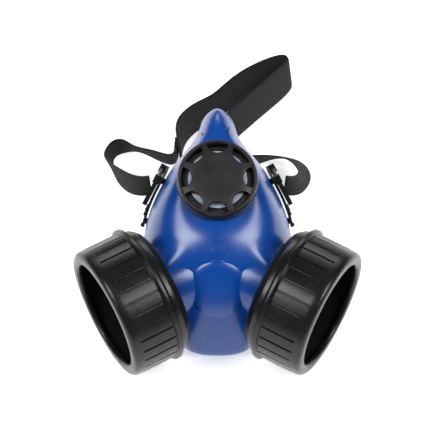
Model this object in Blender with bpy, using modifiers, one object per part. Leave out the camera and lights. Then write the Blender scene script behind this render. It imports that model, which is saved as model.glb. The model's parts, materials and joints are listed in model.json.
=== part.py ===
"""Twin-cartridge half-mask respirator, lying face-opening down with its harness spread behind it.

Metres, +Z up.  +Z is the mask's forward direction, +Y runs from the chin to the nose bridge and X = 0 is
the plane of symmetry.  Everything is placed in the mask frame, whose zero is on the table under the
exhalation valve, and the mask frame is then moved so that the world origin is the middle of the
footprint.  Each cartridge has a frame of its own with +Z out along its axis and zero in the plane of the
retaining ring's mouth; the exhalation valve has one with zero in the cover's outer face.
"""

import math

import bmesh
import bpy
import numpy as np
from mathutils import Matrix, Vector

GAP = 0.0003  # between pieces that touch on the real mask
FIT = 0.0004  # all round a piece that sits inside another
SIDES = {"left": -1, "right": 1}
ROUND_STEPS = 32

# Facepiece: one rubber moulding.
FACE_WIDTH = 0.094
FACE_LENGTH = 0.140
FACE_HEIGHT = 0.104
WALL = 0.0025
RIM_STEP = 0.0020  # between a hole in the shell and the thickened ring moulded into it
SHELL_AROUND = 36
SHELL_LEVELS = 14

# Exhalation valve, with its axis tipped towards the chin.
VALVE_AT_HEIGHT = 0.098  # of a facepiece at its net's own height
VALVE_TILT = math.radians(23)
VALVE_BORE_R = 0.015
VALVE_BOSS_WALL = 0.0075
VALVE_BOSS_DEPTH = 0.010
VALVE_BOSS_RISE = 0.0018  # of the boss over the shell at the bore
COVER_R = 0.024
COVER_WALL = 0.0026
COVER_HEIGHT = 0.009
COVER_PLATE = 0.0018
COVER_ARMS = 8
COVER_ARM_W = 0.0034
COVER_SCALLOP_INSET = 0.0018  # of the scallops' middles from the cover's edge
SEAT_RING = 0.0026
DIAPHRAGM_LAP = 0.0028  # over the edge of the bore
DIAPHRAGM_T = 0.0009
STEM_R = 0.0016
HUB_R = 0.0038

# Front boss, a blanked third port, and the small lug over it, placed in the net's own millimetres.
BOSS_R = 0.018
BOSS_CENTRE = (0, -49.7, 51.2)
BOSS_TILT = math.radians(66)
BOSS_DEPTH = 0.0035
LUG = (0.0080, 0.0060, 0.0060)
LUG_CENTRE = (0, -34.5, 70)
LUG_TILT = math.radians(52)

# Cartridges: swept towards the chin and tipped a little down.
PORT_SEAT = (32.9, -40.3, 43.1)  # the middle of the right port's face, in the net's own millimetres
SWEEP = math.radians(30.5)
DIP = math.radians(2)
PORT_BOSS_R = 0.0230
PORT_BOSS_FOOT_R = 0.0235
PORT_BOSS_L = 0.0200
PORT_STEP = 0.0006  # of the port boss over the shell that is pressed flat under it
PORT_CUT_L = 0.0170
RING_R = 0.0410
RING_LIP_W = 0.0080
RING_FLANGE_W = 0.0020
RING_DEPTH = 0.0310
RING_FLANGE_T = 0.0030
RING_LIP_T = 0.0030
RING_WALL = 0.0028
RIBS = 32
GROOVE_W = 0.0013
GROOVE_DEPTH = 0.0009
GROOVE_START = 0.0060
FILTER_FIT = 0.0006
FILTER_H = 0.0155
FELT_FIT = 0.0014
FELT_H = 0.0022
GASKET_W = 0.0075
GASKET_FIT = 0.0011
GASKET_H = 0.0016
COLLAR_WALL = 0.0022
COLLAR_H = 0.0105
CUP_FLANGE_INSET = 0.0010
CUP_FLANGE_T = 0.0026
CUP_H = 0.0094
CUP_BACK_INSET = 0.0120
NECK_R = 0.0165
NECK_WALL = 0.0035
NECK_L = 0.0100
SLEEVE_WALL = 0.0034
SLEEVE_L = 0.0055
CLAMP_H = 0.0024
CLAMP_WALL = 0.0028
CLAMP_ROOM = 0.0008  # round the clamp, inside the port boss
INHALE_FIT = 0.0008
INHALE_DISC_T = 0.0009
INHALE_GRID_T = 0.0018
INHALE_LIFT = 0.0034  # room behind the inhalation disc inside the neck
SPOKE_W = 0.0016

# Harness.  A clip's ends are places on the shell: the angle from the nose, and how far from bore to seal.
BAND_W = 0.030
BAND_T = 0.0018
STRAP_W = 0.0125
STRAP_T = 0.0014
CLIP_TOP = (math.radians(67), 0.365)
CLIP_FOOT = (math.radians(89), 0.489)
CLIP_W = 0.0120
CLIP_T = 0.0016
CLIP_LIFT = 0.0010
STUD_R = 0.0020
STUD_L = 0.0026  # inside the shell
STUDS_AT = (0.12, 0.88)
TEETH_AT = (0.64, 0.74, 0.96)
SLIDE_AT = 0.22  # along the clip, where the slide lies against it
SLIDE_HEAD = 0.0075  # from there back to the slide's pivot
SLIDE_L = 0.0200
SLIDE_W = 0.0170
SLIDE_T = 0.0028
SLIDE_RAIL = 0.0026
BAR_R = 0.0012
PIVOT_R = 0.0009
PIVOT_FIT = 0.0003
EAR_T = 0.0016

BLACK_PLASTIC = ((0.018, 0.018, 0.020), 0.42)
BLUE_RUBBER = ((0.004, 0.062, 0.42), 0.25)
BLACK_RUBBER = ((0.02, 0.02, 0.02), 0.7)
GREY_SILICONE = ((0.38, 0.43, 0.50), 0.45)
CARBON_FELT = ((0.03, 0.027, 0.027), 0.95)
BLACK_ELASTIC = ((0.03, 0.03, 0.032), 0.9)


def clear_scene():
    for thing in list(bpy.data.objects):
        bpy.data.objects.remove(thing, do_unlink=True)


def new_collection(name):
    made = bpy.data.collections.new(name)
    bpy.context.scene.collection.children.link(made)
    return made


def empty(name, matrix, parent=None):
    made = bpy.data.objects.new(name, None)
    PARTS.objects.link(made)
    made.empty_display_size = 0.01
    made.parent = parent
    made.matrix_local = matrix
    return made


def finish(mesh, name, parent, look=None, smooth=35):
    """A named object on the mesh, in its parent's frame: a part with a look, or a cutter without one."""
    made = bpy.data.objects.new(name, mesh)
    made.parent = parent
    if look is None:
        CUTTERS.objects.link(made)
        made.hide_render = True
        made.display_type = "WIRE"
        return made
    PARTS.objects.link(made)
    colour, roughness = look
    material = bpy.data.materials.new(name)
    material.use_nodes = True
    shader = material.node_tree.nodes["Principled BSDF"]
    shader.inputs["Base Color"].default_value = (*colour, 1)
    shader.inputs["Roughness"].default_value = roughness
    shader.inputs["Metallic"].default_value = 0
    mesh.materials.append(material)
    mesh.shade_smooth()
    mesh.set_sharp_from_angle(angle=math.radians(smooth))
    return made


def turned(name, profile, parent, look=None, steps=ROUND_STEPS, ring=True):
    """The (radius, height) profile turned about the frame's Z axis.  A ring's profile is a closed loop."""
    count = len(profile)
    edges = [(i, (i + 1) % count) for i in range(count if ring else count - 1)]
    mesh = bpy.data.meshes.new(name)
    mesh.from_pydata([(radius, 0, height) for radius, height in profile], edges, [])
    made = finish(mesh, name, parent, look)
    screw = made.modifiers.new("turn", "SCREW")
    screw.steps = steps
    screw.render_steps = steps
    screw.use_merge_vertices = True
    screw.merge_threshold = 0.00001
    screw.use_smooth_shade = True
    return made


def disc(name, radius, low, high, parent, look=None, steps=ROUND_STEPS):
    return turned(name, [(0, high), (radius, high), (radius, low), (0, low)], parent, look, steps, False)


def tube(name, inner, outer, low, high, parent, look=None, steps=ROUND_STEPS):
    loop = [(inner, high), (outer, high), (outer, low), (inner, low)]
    return turned(name, loop, parent, look, steps)


def block_mesh(name, boxes):
    """Boxes, each given by its centre, its size and its turn about Z through the frame's zero."""
    corners = np.array([(x, y, z) for x in (-0.5, 0.5) for y in (-0.5, 0.5) for z in (-0.5, 0.5)])
    quads = np.array([(0, 1, 3, 2), (4, 6, 7, 5), (0, 4, 5, 1), (2, 3, 7, 6), (0, 2, 6, 4), (1, 5, 7, 3)])
    points, faces = [], []
    for centre, size, turn in boxes:
        spin = np.array(Matrix.Rotation(turn, 3, "Z"))
        faces += (quads + 8 * len(points)).tolist()
        points.append((corners * size + centre) @ spin.T)
    mesh = bpy.data.meshes.new(name)
    mesh.from_pydata(np.concatenate(points).tolist(), [], faces)
    return mesh


def combine(target, tool, operation):
    step = target.modifiers.new(tool.name, "BOOLEAN")
    step.operation = operation
    step.object = tool
    step.solver = "EXACT"


def axes(origin, z_axis, x_hint):
    """The frame at origin with +Z along z_axis and +X as near x_hint as it can be."""
    z = Vector(z_axis).normalized()
    y = z.cross(Vector(x_hint)).normalized()
    x = y.cross(z)
    return Matrix.Translation(origin) @ Matrix((x, y, z)).transposed().to_4x4()


def tilted(origin, tilt):
    """The frame at origin whose +Z leans from straight up towards the chin by tilt."""
    return Matrix.Translation(origin) @ Matrix.Rotation(tilt, 4, "X")


# ------------------------------------------------------------------------------------------- facepiece

# Control points of the facepiece's outer face from the valve bore to the turned-in seal, in millimetres
# and in five directions counted from the nose, for a facepiece of NET_SIZE.  The other half mirrors them.
NET_SIZE = (0.094, 0.140, 0.104)
SHELL_NET = {
    0: [(0, 28, 99), (0, 43, 102.5), (0, 59, 97), (0, 67, 80), (0, 73, 60), (0, 69, 50), (0, 58, 48)],
    45: [(12, 24, 96), (11.5, 36, 95), (17, 48.5, 77.5), (26, 54, 46), (31, 55, 18), (30, 52, 10), (24, 46, 12)],
    90: [(26, 0, 88), (37, 3, 70), (45, 9, 44), (47, 14, 20), (46.5, 16, 3), (42, 15, 0), (33, 13, 4)],
    135: [(22, -20, 80), (32, -31, 66), (34, -42, 42), (32, -49, 20), (29, -51, 3), (26, -46, 0), (20, -38, 4)],
    180: [(0, -28, 80), (0, -45, 65), (0, -58, 42), (0, -66, 20), (0, -67, 3), (0, -61, 0), (0, -51, 4)],
}


def net_place(millimetres):
    """A place given in the net's own millimetres, on a facepiece of the size that is set."""
    return 0.001 * np.array(millimetres) * np.array((FACE_WIDTH, FACE_LENGTH, FACE_HEIGHT)) / NET_SIZE


def spline_weights(count, along):
    """Weights of a clamped cubic B-spline's control points, one row for each place along it, 0 to 1."""
    knots = np.concatenate([[0] * 3, np.linspace(0, 1, count - 2), [1] * 3])
    at = np.minimum(along, 1 - 1e-12)[:, None]
    weights = ((at >= knots[:-1]) & (at < knots[1:])).astype(float)
    for degree in (1, 2, 3):
        first, last = knots[:-degree], knots[degree:]
        span = np.where(last > first, last - first, 1)
        ramp = np.where(last > first, (at - first) / span, 0)
        rise, fall = ramp[:, :-1], np.where((last > first)[1:], 1 - ramp[:, 1:], 0)
        weights = rise * weights[:, :-1] + fall * weights[:, 1:]
    return weights


def flatten_ports(points):
    """Presses the shell's outer face back to the plane that each cartridge cup sits on."""
    for side in SIDES.values():
        out = cartridge_axis(side)
        over = (points - port_seat(side)) @ out + PORT_STEP
        points = points - np.maximum(over, 0)[..., None] * out
    return points


def shell_places(angles, along):
    """Points (angle, along, 3) of the outer face: splines down it, a trigonometric blend round it."""
    centre = valve_bore_centre()
    lean = np.array((0, math.cos(VALVE_TILT), math.sin(VALVE_TILT)))
    net = []
    for degrees, points in SHELL_NET.items():
        angle = math.radians(degrees)
        spoke = math.cos(angle) * lean + math.sin(angle) * np.array((1, 0, 0))
        rim = centre + (VALVE_BORE_R + RIM_STEP) * spoke
        net.append(np.vstack([rim, net_place(points)]))
    net = np.array(net)
    curves = np.einsum("tk,akc->atc", spline_weights(net.shape[1], along), net)
    known = np.radians(list(SHELL_NET))
    even, odd = np.arange(5), np.arange(1, 4)
    even_weights = np.cos(np.outer(angles, even)) @ np.linalg.inv(np.cos(np.outer(known, even)))
    odd_weights = np.sin(np.outer(angles, odd)) @ np.linalg.inv(np.sin(np.outer(known[1:4], odd)))
    x = np.einsum("ha,at->ht", odd_weights, curves[1:4, :, 0])
    y, z = np.einsum("ha,atc->cht", even_weights, curves[..., 1:])
    return flatten_ports(np.stack([x, y, z], axis=-1))


def shell_grid():
    return shell_places(np.linspace(0, 2 * math.pi, SHELL_AROUND, endpoint=False), np.linspace(0, 1, SHELL_LEVELS))


def shell_frame(angle, along, heading):
    """The frame on the outer face there, +Z out of the shell and +X towards heading, an (angle, along) step."""
    step = 0.002
    here = shell_places(np.array((angle, angle + step)), np.array((along, along + step)))
    down, round_it = here[0, 1] - here[0, 0], here[1, 0] - here[0, 0]
    return axes(Vector(here[0, 0]), Vector(np.cross(round_it, down)), heading[0] * round_it + heading[1] * down)


def grid_mesh(name, points, closed_around=True):
    """Quads over a grid of points, (around, along, 3)."""
    around, along = points.shape[:2]
    index = np.arange(around * along).reshape(around, along)
    following = np.roll(index, -1, axis=0)
    if not closed_around:
        index, following = index[:-1], following[:-1]
    quads = np.stack([index[:, :-1], following[:, :-1], following[:, 1:], index[:, 1:]], axis=-1)
    mesh = bpy.data.meshes.new(name)
    mesh.from_pydata(points.reshape(-1, 3).tolist(), [], quads.reshape(-1, 4).tolist())
    return mesh


def solidify(target, thickness, offset):
    wall = target.modifiers.new("wall", "SOLIDIFY")
    wall.thickness = thickness
    wall.offset = offset
    wall.use_even_offset = True
    wall.use_rim = True


def shell_core():
    """The space within the middle of the shell's wall, closed across the bore and the face opening."""
    mesh = grid_mesh("shell_core", shell_grid())
    work = bmesh.new()
    work.from_mesh(mesh)
    bmesh.ops.holes_fill(work, edges=work.edges)
    bmesh.ops.recalc_face_normals(work, faces=work.faces)
    work.to_mesh(mesh)
    work.free()
    core = finish(mesh, "shell_core", MASK)
    shrink = core.modifiers.new("shrink", "DISPLACE")
    shrink.mid_level = 0
    shrink.strength = -WALL / 2
    return core


def port_boss(name, frame, core):
    """The moulding that fills in between the shell and the flat face under a cup."""
    bore = NECK_R + FIT + SLEEVE_WALL / 2
    room = NECK_R + FIT + CLAMP_WALL + CLAMP_ROOM
    foot = -PORT_DEPTH - PORT_BOSS_L
    step = -PORT_DEPTH - 0.7 * SLEEVE_L
    profile = [
        (bore, -PORT_DEPTH),
        (PORT_BOSS_R - 0.001, -PORT_DEPTH),
        (PORT_BOSS_R, -PORT_DEPTH - 0.001),
        (PORT_BOSS_FOOT_R, foot),
        (room, foot),
        (room, step),
        (bore, step),
    ]
    boss = turned(f"port_boss_{name}", profile, frame)
    combine(boss, core, "DIFFERENCE")
    return boss


def facepiece():
    shell = finish(grid_mesh("facepiece", shell_grid()), "facepiece", MASK, BLUE_RUBBER)
    solidify(shell, WALL, -1)
    hole_r = NECK_R + FIT + CLAMP_WALL + CLAMP_ROOM + RIM_STEP / 4
    for name, frame in CARTRIDGES.items():
        hole = disc(f"port_{name}", hole_r, -PORT_DEPTH - PORT_CUT_L, -PORT_DEPTH + WALL, frame)
        combine(shell, hole, "DIFFERENCE")
    core = shell_core()
    for name, frame in CARTRIDGES.items():
        combine(shell, port_boss(name, frame, core), "UNION")
    for name, frame in CARTRIDGES.items():
        low, high = -PORT_DEPTH - SLEEVE_L, -PORT_DEPTH - PORT_STEP / 2
        sleeve = tube(f"sleeve_{name}", NECK_R + FIT, NECK_R + FIT + SLEEVE_WALL, low, high, frame)
        combine(shell, sleeve, "UNION")
    boss_top = -COVER_HEIGHT - GAP
    boss_r = VALVE_BORE_R + VALVE_BOSS_WALL
    boss = tube("valve_boss", VALVE_BORE_R, boss_r, boss_top - VALVE_BOSS_DEPTH, boss_top, VALVE)
    combine(shell, boss, "UNION")
    front = empty("front_boss_frame", tilted(net_place(BOSS_CENTRE), BOSS_TILT), MASK)
    back_r = BOSS_R - 0.004
    blank = [(0, 0.001), (BOSS_R - 0.002, 0.001), (BOSS_R, -0.001), (back_r, -BOSS_DEPTH), (0, -BOSS_DEPTH)]
    combine(shell, turned("front_boss", blank, front, ring=False), "UNION")
    lug_frame = empty("lug_frame", tilted(net_place(LUG_CENTRE), LUG_TILT), MASK)
    combine(shell, finish(block_mesh("lug", [((0, 0, 0), LUG, 0)]), "lug", lug_frame), "UNION")
    for name, side in SIDES.items():
        for i, along in enumerate(STUDS_AT):
            spot = empty(f"stud_hole_frame_{name}_{i}", clip_frame(side, along), MASK)
            hole = disc(f"stud_hole_{name}_{i}", STUD_R + FIT, -2 * WALL, CLIP_LIFT, spot, steps=16)
            combine(shell, hole, "DIFFERENCE")


# ------------------------------------------------------------------------------------ exhalation valve


def spokes(name, count, inner, outer, width, low, high):
    middle, length = (inner + outer) / 2, outer - inner
    size = (length, width, high - low)
    return block_mesh(name, [((middle, 0, (low + high) / 2), size, 2 * math.pi * i / count) for i in range(count)])


def exhalation_valve():
    foot = -COVER_HEIGHT
    seat_r = COVER_R - COVER_WALL - FIT
    seat_top = foot + SEAT_RING
    lip = [
        (VALVE_BORE_R - 0.0015, seat_top + 0.0008),
        (VALVE_BORE_R - 0.0003, seat_top + 0.0008),
        (VALVE_BORE_R + 0.0012, seat_top - 0.0006),
        (seat_r, seat_top - 0.0006),
        (seat_r, foot),
        (VALVE_BORE_R - 0.0015, foot),
    ]
    seat = turned("exhalation_seat", lip, VALVE, BLACK_PLASTIC)
    arm_mesh = spokes("seat_arms", 6, HUB_R * 0.7, VALVE_BORE_R - 0.0008, SPOKE_W, foot, foot + 0.0018)
    arms = finish(arm_mesh, "seat_arms", VALVE)
    hub = disc("seat_hub", HUB_R, foot, foot + 0.0018, VALVE, steps=20)
    combine(arms, hub, "UNION")
    combine(seat, arms, "UNION")
    combine(seat, disc("stem_hole", STEM_R + FIT, foot - 0.01, foot + 0.01, VALVE, steps=20), "DIFFERENCE")

    low = seat_top + 0.0008 + GAP
    flap_r = VALVE_BORE_R + DIAPHRAGM_LAP
    skirt = [
        (0, low + DIAPHRAGM_T + 0.0006),
        (HUB_R, low + DIAPHRAGM_T + 0.0006),
        (HUB_R + 0.0012, low + DIAPHRAGM_T),
        (flap_r, low + 0.0007),
        (flap_r, low),
        (STEM_R, low),
        (STEM_R, foot - 0.002),
        (0, foot - 0.002),
    ]
    turned("exhalation_diaphragm", skirt, VALVE, GREY_SILICONE, ring=False)

    rim = [
        (COVER_R - COVER_WALL, -COVER_PLATE),
        (COVER_R - COVER_WALL + 0.0004, -0.0008),
        (COVER_R - 0.0008, -0.0008),
        (COVER_R, -0.0018),
        (COVER_R, foot),
        (COVER_R - COVER_WALL, foot),
    ]
    cover = turned("exhalation_cover", rim, VALVE, BLACK_PLASTIC)
    plate = disc("cover_plate", COVER_R - COVER_WALL / 2, -COVER_PLATE, 0, VALVE)
    scallop_at = COVER_R - COVER_SCALLOP_INSET
    scallop_r = scallop_at * math.sin(math.pi / COVER_ARMS) - COVER_ARM_W / 2
    for i in range(COVER_ARMS):
        turn = 2 * math.pi * i / COVER_ARMS
        place = Matrix.Translation((scallop_at * math.sin(turn), scallop_at * math.cos(turn), 0))
        spot = empty(f"scallop_frame_{i}", place, VALVE)
        combine(plate, disc(f"scallop_{i}", scallop_r, -COVER_HEIGHT, COVER_HEIGHT, spot, steps=20), "DIFFERENCE")
    combine(cover, plate, "UNION")


# ------------------------------------------------------------------------------------------ cartridges


def retaining_ring(name, frame):
    flange = RING_DEPTH - RING_FLANGE_T
    inner = RING_R - RING_WALL
    mouth_r = RING_R - RING_LIP_W
    flange_r = RING_R + RING_FLANGE_W
    ledge = -FELT_TOP - GAP
    profile = [
        (mouth_r, -0.0006),
        (mouth_r + 0.0010, 0),
        (RING_R - 0.0030, 0),
        (RING_R - 0.0008, -0.0008),
        (RING_R - 0.0003, -0.0030),
        (RING_R, -flange + 0.0004),
        (flange_r, -flange - 0.0004),
        (flange_r, -RING_DEPTH),
        (inner, -RING_DEPTH),
        (inner, -ledge),
        (mouth_r + 0.0004, -ledge),
        (mouth_r + 0.0004, -ledge + 0.0020),
        (inner - 0.0012, -ledge + 0.0032),
        (inner - 0.0012, -RING_LIP_T - 0.0012),
        (mouth_r, -RING_LIP_T),
    ]
    ring = turned(f"retaining_ring_{name}", profile, frame, BLACK_PLASTIC)
    length = flange - GROOVE_START
    half_step = math.pi / RIBS
    mid_r = RING_R * math.cos(half_step)
    boxes = [
        ((mid_r, 0, -GROOVE_START - length / 2), (2 * GROOVE_DEPTH, GROOVE_W, length), (2 * i + 1) * half_step)
        for i in range(RIBS)
    ]
    combine(ring, finish(block_mesh("grooves", boxes), f"grooves_{name}", frame), "DIFFERENCE")


def cartridge_cup(name, frame):
    face = -RING_DEPTH - GAP
    collar_r = RING_R - RING_WALL - FIT
    collar_in = collar_r - COLLAR_WALL
    cup_r = RING_R - CUP_FLANGE_INSET
    gasket_r = collar_in - GASKET_FIT
    seat_in = gasket_r - GASKET_W - 0.0010
    bore_r = NECK_R - NECK_WALL
    floor = face - CUP_FLANGE_T
    back = -PORT_DEPTH + GAP
    end = back - NECK_L
    profile = [
        (collar_in, face),
        (cup_r, face),
        (cup_r, floor),
        (cup_r - 0.0012, floor - 0.0004),
        (cup_r - 0.25 * CUP_BACK_INSET, floor - 0.0036),
        (cup_r - 0.75 * CUP_BACK_INSET, back + 0.0006),
        (cup_r - CUP_BACK_INSET, back),
        (NECK_R, back),
        (NECK_R, end),
        (bore_r, end),
        (bore_r, floor - 0.0040),
        (seat_in, floor - 0.0016),
        (seat_in, floor),
        (collar_in, floor),
    ]
    cup = turned(f"cartridge_cup_{name}", profile, frame, BLACK_PLASTIC)
    tube(f"cup_collar_{name}", collar_in, collar_r, face + GAP, face + COLLAR_H, frame, BLACK_PLASTIC)
    low, high = end + INHALE_LIFT, end + INHALE_LIFT + INHALE_GRID_T
    arm_mesh = spokes("inhale_arms", 4, HUB_R * 0.7, bore_r + 0.001, SPOKE_W, low, high)
    grid = finish(arm_mesh, f"inhale_arms_{name}", frame)
    combine(grid, disc(f"inhale_hub_{name}", HUB_R, low, high, frame, steps=20), "UNION")
    combine(cup, grid, "UNION")
    hole = disc(f"inhale_stem_hole_{name}", STEM_R + FIT, low - 0.01, high + 0.01, frame, steps=20)
    combine(cup, hole, "DIFFERENCE")

    flap_top = low - GAP
    flap_r = bore_r - INHALE_FIT
    flap = [
        (0, high + 0.002),
        (STEM_R, high + 0.002),
        (STEM_R, flap_top),
        (flap_r, flap_top),
        (flap_r, flap_top - INHALE_DISC_T),
        (0, flap_top - INHALE_DISC_T),
    ]
    turned(f"inhalation_disc_{name}", flap, frame, GREY_SILICONE, steps=24, ring=False)

    clamp_top = -PORT_DEPTH - SLEEVE_L - GAP
    tube(
        f"port_clamp_{name}", NECK_R + FIT, NECK_R + FIT + CLAMP_WALL, clamp_top - CLAMP_H, clamp_top, frame,
        BLACK_PLASTIC,
    )
    gasket_top = floor + GAP + GASKET_H
    tube(f"cup_gasket_{name}", gasket_r - GASKET_W, gasket_r, floor + GAP, gasket_top, frame, BLACK_RUBBER)

    filter_r = collar_in - FILTER_FIT
    filter_low = gasket_top + GAP
    filter_high = filter_low + FILTER_H
    body = [
        (0, filter_high - 0.0012),
        (filter_r - 0.0040, filter_high - 0.0012),
        (filter_r - 0.0032, filter_high),
        (filter_r - 0.0006, filter_high),
        (filter_r, filter_high - 0.0006),
        (filter_r, filter_low),
        (0, filter_low),
    ]
    turned(f"filter_canister_{name}", body, frame, BLACK_PLASTIC, ring=False)
    felt_r = RING_R - RING_WALL - FELT_FIT
    disc(f"prefilter_felt_{name}", felt_r, FELT_TOP - FELT_H, FELT_TOP, frame, CARBON_FELT)


# --------------------------------------------------------------------------------------------- harness

# The head band's bottom and top edges seen from above, from its left seam round the loop and back, in
# millimetres in the mask frame.
BAND_ROUTE = [
    ((-25, 99), (-27, 95)),
    ((-24.5, 107), (-29, 103)),
    ((-20, 118), (-25, 114)),
    ((-11, 127), (-13, 125)),
    ((-2, 132), (-3, 130)),
    ((8, 144), (8, 145)),
    ((23, 158), (22, 158)),
    ((40, 168), (40, 168)),
    ((50, 171), (47, 169)),
    ((54, 167), (50, 165)),
    ((49, 158), (46, 160)),
    ((37, 144.5), (37, 150)),
    ((23, 129), (24, 134)),
    ((12, 116), (12, 121)),
    ((4, 107), (4, 111)),
    ((2, 100), (0, 102)),
]
# The side straps' middles and the direction of their width, from beside the buckle to the seam with the
# band, in the same millimetres.  Each strap starts on its buckle's bar.
LEFT_ROUTE = [
    ((-50.5, 31.5, 50), (0.28, 0.53, 0.8)),
    ((-62, 52, 33), (0.1, 0.3, 0.95)),
    ((-71, 74, 19), (0.0, -0.45, 0.89)),
    ((-74, 89, 11), (-0.35, -0.55, 0.76)),
    ((-72, 100, 8), (-0.3, 0.35, 0.89)),
    ((-66, 104, 8), (0.0, 0.35, 0.94)),
    ((-56, 101, 8), (0.0, -0.6, 0.8)),
    ((-44, 97, 7), (0.0, -0.25, 0.97)),
    ((-34, 91.5, 6.8), (-0.06, -0.1, 1)),
    ((-28.4, 92.5, 6.8), (-0.1, -0.12, 0.98)),
    ((-28.0, 99, 6.8), (-0.12, -0.12, 0.98)),
    ((-27.8, 107, 6.8), (-0.14, -0.12, 0.98)),
]
RIGHT_ROUTE = [
    ((50, 31.5, 50), (-0.28, 0.53, 0.8)),
    ((57, 53, 33), (-0.35, -0.5, 0.8)),
    ((56.5, 74, 20), (-0.5, -0.55, 0.67)),
    ((51, 88, 12), (-0.4, -0.6, 0.7)),
    ((40, 94, 8), (0.0, -0.62, 0.78)),
    ((29, 92, 7), (0, -0.2, 0.98)),
    ((17, 90, 6.8), (0, 0, 1)),
    ((7, 89.5, 6.8), (0, 0.05, 1)),
    ((4.6, 94, 6.8), (-0.04, 0.1, 1)),
    ((5.0, 100.5, 6.8), (-0.05, 0.1, 1)),
    ((7.6, 108.3, 6.8), (-0.02, 0.1, 1)),
]


def smooth_route(values, samples):
    """A clamped cubic B-spline's points through the run of control values."""
    values = np.array(values, float)
    weights = spline_weights(len(values), np.linspace(0, 1, samples))
    return (weights @ values.reshape(len(values), -1)).reshape(samples, *values.shape[1:])


def ribbon(name, edges, thickness, look):
    """A flat woven band between two edge curves, (along, 2, 3), given its thickness."""
    band = finish(grid_mesh(name, edges, closed_around=False), name, MASK, look)
    solidify(band, thickness, 0)
    return band


def head_band():
    route = smooth_route(BAND_ROUTE, 44)
    edges = net_place(np.dstack([route, np.zeros((*route.shape[:2], 1))]))
    edges[:, 1, 2] = BAND_W
    ribbon("head_band", edges, BAND_T, BLACK_ELASTIC)


def side_strap(name, side, values):
    slide = slide_frame(side)
    start = slide @ Vector((SLIDE_L / 2, 0, SLIDE_T / 2 + GAP + STRAP_T / 2))
    along = slide.to_3x3() @ Vector((-1, 0, 0))
    middle, across = np.array(values).swapaxes(0, 1)
    middle = smooth_route(np.vstack([start, net_place(middle)]), 28)
    across = smooth_route(np.vstack([along, across]), 28)
    across = across / np.linalg.norm(across, axis=1, keepdims=True) * STRAP_W / 2
    ribbon(f"side_strap_{name}", np.stack([middle - across, middle + across], axis=1), STRAP_T, BLACK_ELASTIC)


def clip_frame(side, along):
    """The frame on the shell at that share of the clip's length, +X down the clip and +Z outwards."""
    top, foot = np.array(CLIP_TOP), np.array(CLIP_FOOT)
    angle, level = top + along * (foot - top)
    return shell_frame(side * angle, level, (side * (foot - top)[0], (foot - top)[1]))


def slide_frame(side):
    """The buckle slide's frame: zero on its pivot, +X down the slide and +Z outwards."""
    rise = CLIP_LIFT + CLIP_T + GAP + SLIDE_T / 2
    return clip_frame(side, SLIDE_AT) @ Matrix.Translation((-SLIDE_HEAD, 0, rise))


def round_bar(name, radius, length, frame, steps=16):
    """A bar along the frame's Y axis, centred on its zero."""
    lying = empty(f"{name}_frame", Matrix.Rotation(math.pi / 2, 4, "X"), frame)
    return disc(name, radius, -length / 2, length / 2, lying, steps=steps)


def buckle(name, side):
    places = [clip_frame(side, along) for along in np.linspace(0, 1, 9)]
    rise = CLIP_LIFT + CLIP_T / 2
    edges = [[place @ Vector((0, turn * CLIP_W / 2, rise)) for turn in (-1, 1)] for place in places]
    clip = ribbon(f"strap_clip_{name}", np.array(edges), CLIP_T, BLACK_PLASTIC)
    for i, along in enumerate(STUDS_AT):
        spot = empty(f"stud_frame_{name}_{i}", clip_frame(side, along), MASK)
        stud = disc(f"stud_{name}_{i}", STUD_R, -WALL - STUD_L, CLIP_LIFT + CLIP_T / 2, spot, steps=16)
        combine(clip, stud, "UNION")
    for i, along in enumerate(TEETH_AT):
        spot = empty(f"tooth_frame_{name}_{i}", clip_frame(side, along), MASK)
        tooth = block_mesh("tooth", [((0, 0, CLIP_LIFT + CLIP_T), (0.0016, CLIP_W - 0.001, 0.0016), 0)])
        combine(clip, finish(tooth, f"tooth_{name}_{i}", spot), "UNION")

    pivot = empty(f"slide_frame_{name}", slide_frame(side), MASK)
    ear_at = SLIDE_W / 2 + FIT + EAR_T / 2
    ear_low = -SLIDE_T / 2 - GAP - CLIP_T
    size = (2 * SLIDE_T, EAR_T, SLIDE_T / 2 + PIVOT_R - ear_low)
    ears = [((0, turn * ear_at, (SLIDE_T / 2 + PIVOT_R + ear_low) / 2), size, 0) for turn in (-1, 1)]
    foot = ((0, 0, ear_low + CLIP_T / 2), (2 * SLIDE_T, 2 * ear_at, CLIP_T), 0)
    yoke = finish(block_mesh("yoke", ears), f"yoke_{name}", pivot)
    combine(yoke, finish(block_mesh("yoke_foot", [foot]), f"yoke_foot_{name}", pivot), "UNION")
    combine(yoke, round_bar(f"pivot_{name}", PIVOT_R, 2 * ear_at, pivot), "UNION")
    combine(clip, yoke, "UNION")

    slide_mesh = block_mesh("slide", [((SLIDE_L / 2, 0, 0), (SLIDE_L, SLIDE_W, SLIDE_T), 0)])
    slide = finish(slide_mesh, f"buckle_slide_{name}", pivot, BLACK_PLASTIC)
    combine(slide, round_bar(f"slide_head_{name}", SLIDE_T / 2 + 0.00005, SLIDE_W - 0.0001, pivot, 24), "UNION")
    combine(slide, round_bar(f"pivot_hole_{name}", PIVOT_R + PIVOT_FIT, 2 * SLIDE_W, pivot), "DIFFERENCE")
    slot_l = SLIDE_L - 2 * SLIDE_RAIL
    slot_w = (SLIDE_W - 2 * SLIDE_RAIL - 2 * BAR_R) / 2
    slots = [((SLIDE_L / 2, turn * (BAR_R + slot_w / 2), 0), (slot_l, slot_w, 2 * SLIDE_T), 0) for turn in (-1, 1)]
    combine(slide, finish(block_mesh("slots", slots), f"slide_slots_{name}", pivot), "DIFFERENCE")


# ------------------------------------------------------------------------------------------- placement


def cartridge_axis(side):
    return np.array((side * math.cos(SWEEP) * math.cos(DIP), -math.sin(SWEEP) * math.cos(DIP), -math.sin(DIP)))


def port_seat(side):
    return net_place(PORT_SEAT) * np.array((side, 1, 1))


def cartridge_mouth(side):
    return port_seat(side) + PORT_DEPTH * cartridge_axis(side)


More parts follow.
